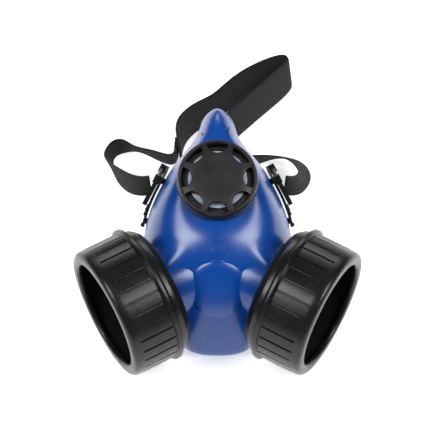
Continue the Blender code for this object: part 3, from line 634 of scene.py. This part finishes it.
def star():
    """The star plate: its outline drawn in towards the middle, slightly dished, with a soft edge."""
    edge = star_outline()
    share = np.array([0.0, 0.3, 0.5, 0.7, 0.85, 0.95, 0.975, 0.99, 1.0, 1.0, 0.98, 0.5, 0.0])
    depth = np.array([0.0] * 6 + [0.00008, 0.0003, 0.0007] + [STAR_PLATE] * 4)
    across = share[None, :, None] * edge[:, None]
    radius = np.linalg.norm(across, axis=-1)
    fall = STAR_FALL * smooth_step((radius - STAR_FALL_FROM) / (STAR_R - STAR_FALL_FROM))
    height = STAR_TOP - depth[None] - fall
    return skin(put(np.concatenate([across, height[..., None]], axis=-1), VALVE), round_u=True)


def boss(angle):
    """A small shiny bead where an arm meets the ring."""
    across = STAR_R * np.array((math.cos(angle), math.sin(angle)))
    where = (put((*across, -0.0011), VALVE), VALVE[1])
    return pillow((0.0021, 0.0021, 0.0016), where, power=2.4, across=16, over=9)


cover_rim = rounded(
    [
        (0.0216, -0.0016, 0.0004), (0.0224, -0.0010, 0.0006), (0.0236, -0.0010, 0.0010),
        (0.0242, -0.0035, 0.0012), (0.0246, -0.0086, 0.0004), (0.0240, -0.0090, 0.0003),
        (0.0214, -0.0090, 0.0002),
    ]
)
beads = [boss(2 * math.pi * (i + 0.5) / STAR_ARMS) for i in range(STAR_ARMS)]
cover = together(turned(cover_rim, VALVE, 192), star(), *beads)
piece("star_cover", cover, SATIN_BLACK, "valve_cover", ["exhalation_cover"])
seat_top = -COVER_HEIGHT + 0.0026
seat = rounded(
    [
        (0.0135, seat_top + 0.0008, 0.0002), (0.0148, seat_top + 0.0008, 0.0002),
        (0.0162, seat_top - 0.0006, 0.0004), (0.0183, seat_top - 0.0006, 0.0002),
        (0.0183, seat_top + 0.0016, 0.0003), (0.0192, seat_top + 0.0016, 0.0003),
        (0.0192, seat_top + 0.0004, 0.0002), (0.0210, seat_top + 0.0004, 0.0003),
        (0.0210, -COVER_HEIGHT, 0.0002), (0.0135, -COVER_HEIGHT, 0.0002),
    ]
)


def beam(where, centre, size):
    """A straight bar with soft edges at centre in a place's frame."""
    return pillow(size, (put(centre, where), where[1]), power=8, across=24, over=12)


def spider(where, arms, reach, width, low, high, hub):
    """Arms from a round hub to a ring, as under a valve flap."""
    found = [turned(rounded([(0, high, 0), (hub, high, 0.0003), (hub, low, 0.0003), (0, low, 0)]), where, 40)]
    for turn in np.arange(arms) * 2 * math.pi / arms:
        cosine, sine = math.cos(turn), math.sin(turn)
        spin = np.array([[cosine, -sine, 0], [sine, cosine, 0], [0, 0, 1]])
        place = (where[0], where[1] @ spin)
        found.append(beam(place, (reach / 2 + 0.001, 0, (low + high) / 2), (reach, width, high - low)))
    return together(*found)


seat_grid = spider(VALVE, 6, 0.0142, SPOKE_W, -COVER_HEIGHT, -COVER_HEIGHT + SPOKE_T, HUB_R)
stepped = together(turned(seat, VALVE, 160), seat_grid)
piece("stepped_seat", stepped, SATIN_BLACK, "mask", ["exhalation_seat"])
flap_low = seat_top + 0.0008 + GAP
flap = rounded(
    [
        (0, flap_low + 0.0015, 0), (0.0034, flap_low + 0.0015, 0.0006),
        (0.0050, flap_low + 0.0009, 0.001), (FLAP_R, flap_low + 0.0006, 0.0002),
        (FLAP_R, flap_low, 0.0001), (0.0016, flap_low, 0.0002),
        (0.0016, -COVER_HEIGHT - 0.0020, 0.0005), (0, -COVER_HEIGHT - 0.0020, 0),
    ]
)
piece(
    "pale_flap", turned(flap, VALVE, 128), SILICONE, "valve_flap",
    ["exhalation_diaphragm"],
)


# ----------------------------------------------------------------------------------------- cartridges
# Each cheek carries a black plastic cup that plugs into the facepiece.  A fluted screw ring with a
# rounded mouth clamps a charcoal canister and its felt in it, and comes off by unscrewing.

RIBS = 32
RIB_STEP = 2 * math.pi / RIBS
RING_R = 0.0410
FLUTE_TOP = -0.0060
FLUTE_FOOT = -0.0270
FLUTE_HALF_W = 0.00065
FLUTE_EDGE = 0.00022
FLUTE_DEPTH = 0.0009
# Where the ring has points round it, in millimetres from the middle of each flute.
FLUTE_PLACES = np.array(
    (-0.95, -0.78, -0.68, -0.58, -0.4, 0, 0.4, 0.58, 0.68, 0.78, 0.95, 1.8, 3.0, 4.1, 5.6, 6.7)
)

RING_BLACK = moulded(
    material("ring_black_plastic", (0.007, 0.007, 0.008), 0.3, Specular_IOR_Level=0.36),
    (0.012, 0.012, 0.013), (0.20, 0.30), 0.25, patch_size=55, grain_size=2200,
)
FELT = moulded(
    material("charcoal_felt", (0.010, 0.006, 0.006), 0.95, Specular_IOR_Level=0.1),
    (0.020, 0.012, 0.011), (0.9, 1.0), 1.0, patch_size=300, grain_size=1800,
)
RUBBER = moulded(material("black_rubber", (0.02, 0.02, 0.02), 0.6), (0.03, 0.03, 0.03), (0.55, 0.7), 0.3)

RING_OUTLINE = rounded(
    [
        (0.0330, 0.0, 0.0016), (0.0404, 0.0, 0.0030), (0.0409, FLUTE_TOP + 0.0004, 0),
        (0.0409, FLUTE_TOP, 0), (0.0409, FLUTE_TOP - 0.0004, 0), (0.0409, FLUTE_TOP - 0.0008, 0),
        (0.0410, -0.0160, 0), (0.0410, FLUTE_FOOT, 0), (0.0410, FLUTE_FOOT - 0.0004, 0),
        (0.0411, -0.0278, 0.0003), (0.0430, -0.0282, 0.0007), (0.0430, -0.0310, 0.0008),
        (0.0382, -0.0310, 0.0003), (0.0382, -0.0040, 0.0010), (0.0330, -0.0034, 0.0008),
    ],
    7,
)


def screw_ring(where):
    """The ring turned from its outline, with a flute of FLUTE_DEPTH cut across each rib step: its depth is a
    smooth step over FLUTE_EDGE at both sides and at its top end."""
    turn = (np.arange(RIBS)[:, None] * RIB_STEP + FLUTE_PLACES * 0.001 / RING_R).ravel()
    radius, height = RING_OUTLINE.T
    from_middle = np.abs((turn + RIB_STEP / 2) % RIB_STEP - RIB_STEP / 2) * RING_R
    side = smooth_step((FLUTE_HALF_W + FLUTE_EDGE / 2 - from_middle) / FLUTE_EDGE)
    top = smooth_step((FLUTE_TOP - height) / 0.0008) * (height >= FLUTE_FOOT - 1e-6) * (radius > 0.0400)
    radius = radius[None] - FLUTE_DEPTH * side[:, None] * top[None]
    flat = [radius * np.cos(turn)[:, None], radius * np.sin(turn)[:, None], height + 0 * radius]
    return skin(put(np.stack(flat, axis=-1), where), True, True)


NECK_R, NECK_BORE = 0.0165, 0.0130
CUP_FACE = -0.0310 - GAP
CUP_FLOOR = CUP_FACE - 0.0026
CUP_BACK = -SEAT_FROM_MOUTH + GAP
NECK_END = CUP_BACK - 0.0100
CUP_OUTLINE = rounded(
    [
        (0.0356, CUP_FACE + 0.0105, 0.0004), (0.0378, CUP_FACE + 0.0105, 0.0006),
        (0.0378, CUP_FACE, 0), (0.0398, CUP_FACE, 0.0004), (0.0400, CUP_FACE - 0.0012, 0.0006),
        (0.0396, CUP_FACE - 0.0040, 0.0020), (0.0366, CUP_FACE - 0.0082, 0.0040),
        (0.0280, CUP_BACK, 0.0020), (NECK_R, CUP_BACK, 0), (NECK_R, NECK_END, 0.0005),
        (NECK_BORE, NECK_END, 0.0005), (NECK_BORE, CUP_FLOOR - 0.0040, 0.002),
        (0.0260, CUP_FLOOR - 0.0016, 0.001), (0.0260, CUP_FLOOR, 0), (0.0356, CUP_FLOOR, 0.0005),
    ],
    6,
)


def wear(name, look):
    """A CAD solid whose shape is right, given its finish."""
    thing = frame["nodes"][name]
    for place in thing.material_slots:
        place.material = look
    return thing


for side_name, where in CARTRIDGES.items():
    piece(
        f"fluted_ring_{side_name}", screw_ring(where), RING_BLACK, f"ring_{side_name}",
        [f"retaining_ring_{side_name}"], sharp=32,
    )
    grid_low = NECK_END + 0.0034
    grid = spider(where, 4, 0.0128, SPOKE_W, grid_low, grid_low + SPOKE_T, HUB_R)
    cup = together(turned(CUP_OUTLINE, where, 192), grid)
    piece(
        f"cup_moulding_{side_name}", cup, RING_BLACK, "mask", [f"cartridge_cup_{side_name}"]
    )
    wear(f"filter_canister_{side_name}", SATIN_BLACK)
    wear(f"prefilter_felt_{side_name}", FELT)
    wear(f"cup_gasket_{side_name}", RUBBER)
    wear(f"port_clamp_{side_name}", SATIN_BLACK)
    wear(f"inhalation_disc_{side_name}", SILICONE)


# -------------------------------------------------------------------------------------------- buckles
# A toothed black clip is studded through each flank of the shell, and a slotted slide is pinned to its
# top end, so that it swings out when the strap pulls.

# Places on the shell, as angle and share, and how far down between them the slide is pinned.
CLIP_TOP = np.array((math.radians(67), 0.365))
CLIP_FOOT = np.array((math.radians(89), 0.489))
SLIDE_AT = 0.22
SLIDE_L = 0.0200
SLIDE_T = 0.0028
CLIP_EDGE, SLIDE_EDGE = 0.0003, 0.0005  # roundings
ROUND_FROM = math.radians(50)  # of the angle between two faces


def softened(thing, width):
    """A CAD solid's edges rounded over: its loose triangles are welded first."""
    weld = thing.modifiers.new("weld", "WELD")
    weld.merge_threshold = 0.00001
    bevel = thing.modifiers.new("soft_edge", "BEVEL")
    bevel.width = width
    bevel.segments = 2
    bevel.limit_method = "ANGLE"
    bevel.angle_limit = ROUND_FROM


for side_name in SIDES:
    softened(wear(f"strap_clip_{side_name}", SATIN_BLACK), CLIP_EDGE)
    softened(wear(f"buckle_slide_{side_name}", SATIN_BLACK), SLIDE_EDGE)


# -------------------------------------------------------------------------------------------- harness
# One loop of woven black elastic: a wide head band standing on its edge behind the nose, and a narrow
# strap sewn to each of its ends that runs round to the buckle on that side.

BAND_W, BAND_T = 0.030, 0.0018
STRAP_W, STRAP_T = 0.0125, 0.0014
RIB_APART, PICK_APART, THREAD_DEPTH = 0.0015, 0.0009, 0.0003
BAND_SAMPLES, STRAP_SAMPLES = 260, 200
BAND_STITCHES = (0.02, 0.028, 0.05, 0.965, 0.974, 0.985)  # shares of its length
STRAP_STITCHES = (0.95, 0.965, 0.98)
BAND_ROWS, STRAP_ROWS = (-0.012, 0.012, 9), (-0.005, 0.005, 5)  # of stitches across, first, last and count
STITCH = (0.0016, 0.0005, 0.0005)
BAND_ROUTE = [  # bottom and top edge, seen from above, in millimetres
    ((-25, 99), (-27, 95)), ((-24.5, 107), (-29, 103)), ((-20, 118), (-25, 114)),
    ((-11, 127), (-13, 125)), ((-2, 132), (-3, 130)), ((8, 144), (8, 145)), ((23, 158), (22, 158)),
    ((40, 168), (40, 168)), ((50, 171), (47, 169)), ((54, 167), (50, 165)), ((49, 158), (46, 160)),
    ((37, 144.5), (37, 150)), ((23, 129), (24, 134)), ((12, 116), (12, 121)), ((4, 107), (4, 111)),
    ((2, 100), (0, 102)),
]
STRAP_ROUTES = {  # middle in millimetres, and the direction of the width
    "left": [
        ((-50.5, 31.5, 50), (0.28, 0.53, 0.8)), ((-62, 52, 33), (0.1, 0.3, 0.95)),
        ((-71, 74, 19), (0.0, -0.45, 0.89)), ((-74, 89, 11), (-0.35, -0.55, 0.76)),
        ((-72, 100, 8), (-0.3, 0.35, 0.89)), ((-66, 104, 8), (0.0, 0.35, 0.94)),
        ((-56, 101, 8), (0.0, -0.6, 0.8)), ((-44, 97, 7), (0.0, -0.25, 0.97)),
        ((-34, 91.5, 6.8), (-0.06, -0.1, 1)), ((-28.4, 92.5, 6.8), (-0.1, -0.12, 0.98)),
        ((-28.0, 99, 6.8), (-0.12, -0.12, 0.98)), ((-27.8, 107, 6.8), (-0.14, -0.12, 0.98)),
    ],
    "right": [
        ((50, 31.5, 50), (-0.28, 0.53, 0.8)), ((57, 53, 33), (-0.35, -0.5, 0.8)),
        ((56.5, 74, 20), (-0.5, -0.55, 0.67)), ((51, 88, 12), (-0.4, -0.6, 0.7)),
        ((40, 94, 8), (0.0, -0.62, 0.78)), ((29, 92, 7), (0, -0.2, 0.98)),
        ((17, 90, 6.8), (0, 0, 1)), ((7, 89.5, 6.8), (0, 0.05, 1)),
        ((4.6, 94, 6.8), (-0.04, 0.1, 1)), ((5.0, 100.5, 6.8), (-0.05, 0.1, 1)),
        ((7.6, 108.3, 6.8), (-0.02, 0.1, 1)),
    ],
}


def woven_group():
    """Node group: Thread, the height of lengthwise ribs crossed by picks, and Shade, where it is worn."""
    turns_a_metre = {"Ribs": 2 * math.pi / RIB_APART, "Picks": 2 * math.pi / PICK_APART}
    group, inside, outside = node_group("woven_elastic", turns_a_metre, ("Thread", "Shade"))
    place = node(group, "ShaderNodeUVMap", uv_map="along")
    split = node(group, "ShaderNodeSeparateXYZ")
    group.links.new(place.outputs[0], split.inputs[0])
    waves = []
    for axis, socket in (("Y", "Ribs"), ("X", "Picks")):
        turns = node(group, "ShaderNodeMath", operation="MULTIPLY")
        wave = node(group, "ShaderNodeMath", operation="SINE")
        group.links.new(split.outputs[axis], turns.inputs[0])
        group.links.new(inside.outputs[socket], turns.inputs[1])
        group.links.new(turns.outputs[0], wave.inputs[0])
        waves.append(wave)
    crossed = node(group, "ShaderNodeMath", operation="MULTIPLY")
    height = node(group, "ShaderNodeMath", operation="ADD")
    half = node(group, "ShaderNodeMath", operation="MULTIPLY")
    half.inputs[1].default_value = 0.5
    group.links.new(waves[0].outputs[0], crossed.inputs[0])
    group.links.new(waves[1].outputs[0], crossed.inputs[1])
    group.links.new(crossed.outputs[0], half.inputs[0])
    group.links.new(half.outputs[0], height.inputs[0])
    group.links.new(waves[0].outputs[0], height.inputs[1])
    fuzz = node(group, "ShaderNodeTexNoise")
    fuzz.inputs["Scale"].default_value = 420
    fuzz.inputs["Detail"].default_value = 4
    solid = node(group, "ShaderNodeTexCoord")
    group.links.new(solid.outputs["Object"], fuzz.inputs["Vector"])
    group.links.new(height.outputs[0], outside.inputs["Thread"])
    group.links.new(fuzz.outputs["Fac"], outside.inputs["Shade"])
    return group


def woven(name, dark, light):
    """Black elastic webbing: threads as bump, and a little lighter in worn patches."""
    made = material(name, dark, 0.85, Sheen_Weight=0.08, Sheen_Roughness=0.5, Specular_IOR_Level=0.2)
    tree = made.node_tree
    shader = tree.nodes["Principled BSDF"]
    cloth = node(tree, "ShaderNodeGroup", node_tree=WOVEN)
    tint = node(tree, "ShaderNodeMix", data_type="RGBA")
    tint.inputs["A"].default_value = (*dark, 1)
    tint.inputs["B"].default_value = (*light, 1)
    relief = node(tree, "ShaderNodeBump")
    relief.inputs["Strength"].default_value = 0.9
    relief.inputs["Distance"].default_value = THREAD_DEPTH
    tree.links.new(cloth.outputs["Shade"], tint.inputs["Factor"])
    tree.links.new(tint.outputs["Result"], shader.inputs["Base Color"])
    tree.links.new(cloth.outputs["Thread"], relief.inputs["Height"])
    tree.links.new(relief.outputs["Normal"], shader.inputs["Normal"])
    return made


WOVEN = woven_group()
ELASTIC = woven("woven_black_elastic", (0.006, 0.006, 0.0065), (0.022, 0.022, 0.024))
THREAD = moulded(material("sewing_thread", (0.05, 0.05, 0.055), 0.6), (0.08, 0.08, 0.085), (0.5, 0.7), 0.3)


def route(values, samples):
    """A clamped cubic B-spline's points through the run of control values."""
    values = np.array(values, float)
    weights = spline_weights(len(values), np.linspace(0, 1, samples))
    return (weights @ values.reshape(len(values), -1)).reshape(samples, *values.shape[1:])


def webbing(name, middle, across, width, thickness, stands_for, body=None):
    """Webbing carried along middle with its width along across: the section is the flat superellipse
    |y/a|^6 + |z/b|^3 = 1, closed with a flat cap at each end.  U is the length along it, V the way across.
    Gives the piece, its length, and the middle with its two directions."""
    tangent = np.gradient(middle, axis=0)
    tangent /= np.linalg.norm(tangent, axis=1, keepdims=True)
    across = across - (across * tangent).sum(axis=1, keepdims=True) * tangent
    across /= np.linalg.norm(across, axis=1, keepdims=True)
    face = np.cross(tangent, across)
    roll = np.linspace(0, 2 * math.pi, 32, endpoint=False)
    y = width / 2 * np.sign(np.cos(roll)) * np.abs(np.cos(roll)) ** (1 / 3)
    z = thickness / 2 * np.sign(np.sin(roll)) * np.abs(np.sin(roll)) ** (2 / 3)
    grid = middle[:, None] + y[None, :, None] * across[:, None] + z[None, :, None] * face[:, None]
    caps = np.repeat(middle[[0, -1], None], len(roll), axis=1)
    grid = np.concatenate([caps[:1], grid, caps[1:]])
    run = np.concatenate([[0], np.cumsum(np.linalg.norm(np.diff(middle, axis=0), axis=1))])
    run = np.concatenate([run[:1], run, run[-1:]])
    uv = np.stack([np.repeat(run, len(roll)), np.tile(y, len(run))], axis=-1)
    made = piece(
        name, skin(grid, round_v=True), ELASTIC, body, stands_for,
        sharp=70, uv=uv, merge=False,
    )
    return made, float(run[-1]), (middle, across, face)


def stitches(name, cloth, starts, across_at, thickness, body="mask"):
    """Short lock stitches lying on both faces of a webbing, at shares of its run and places across it."""
    middle, across, face = cloth
    found = []
    for share in starts:
        i = int(round(share * (len(middle) - 1)))
        along = np.cross(across[i], face[i])
        for side in (-1, 1):
            for place in across_at:
                where = middle[i] + place * across[i] + side * thickness / 2 * face[i]
                turn = np.stack([along, across[i], face[i]], axis=1)
                found.append(pillow(STITCH, (where, turn), power=2.5, across=8, over=5))
    piece(name, together(*found), THREAD, body)


band_edges = 0.001 * route(BAND_ROUTE, BAND_SAMPLES)
bottom = np.concatenate([band_edges[:, 0], np.zeros((BAND_SAMPLES, 1))], axis=1) + MASK
top = np.concatenate([band_edges[:, 1], np.full((BAND_SAMPLES, 1), BAND_W)], axis=1) + MASK
band, band_length, band_cloth = webbing(
    "wide_head_band", (bottom + top) / 2, top - bottom, BAND_W, BAND_T, ["head_band"], "mask"
)
stitches("band_stitches", band_cloth, BAND_STITCHES, np.linspace(*BAND_ROWS), BAND_T)

for side_name, side in SIDES.items():
    swing = joints[f"buckle_{side_name}_swing"]
    angle, share = CLIP_TOP + SLIDE_AT * (CLIP_FOOT - CLIP_TOP)
    out = shell_lean(side * angle, share)[2]
    down = np.cross(-np.array(swing["axis"]), out)
    start = np.array(swing["pos_m"]) + SLIDE_L / 2 * down + (SLIDE_T / 2 + GAP + STRAP_T / 2) * out
    values = np.array(STRAP_ROUTES[side_name], float)
    middle = route(np.vstack([start, 0.001 * values[:, 0] + MASK]), STRAP_SAMPLES)
    across = route(np.vstack([-down, values[:, 1]]), STRAP_SAMPLES)
    strap, length, cloth = webbing(
        f"narrow_strap_{side_name}", middle, across, STRAP_W, STRAP_T, [f"side_strap_{side_name}"]
    )
    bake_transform(strap)
    stitches(f"strap_stitches_{side_name}", cloth, STRAP_STITCHES, np.linspace(*STRAP_ROWS), STRAP_T)
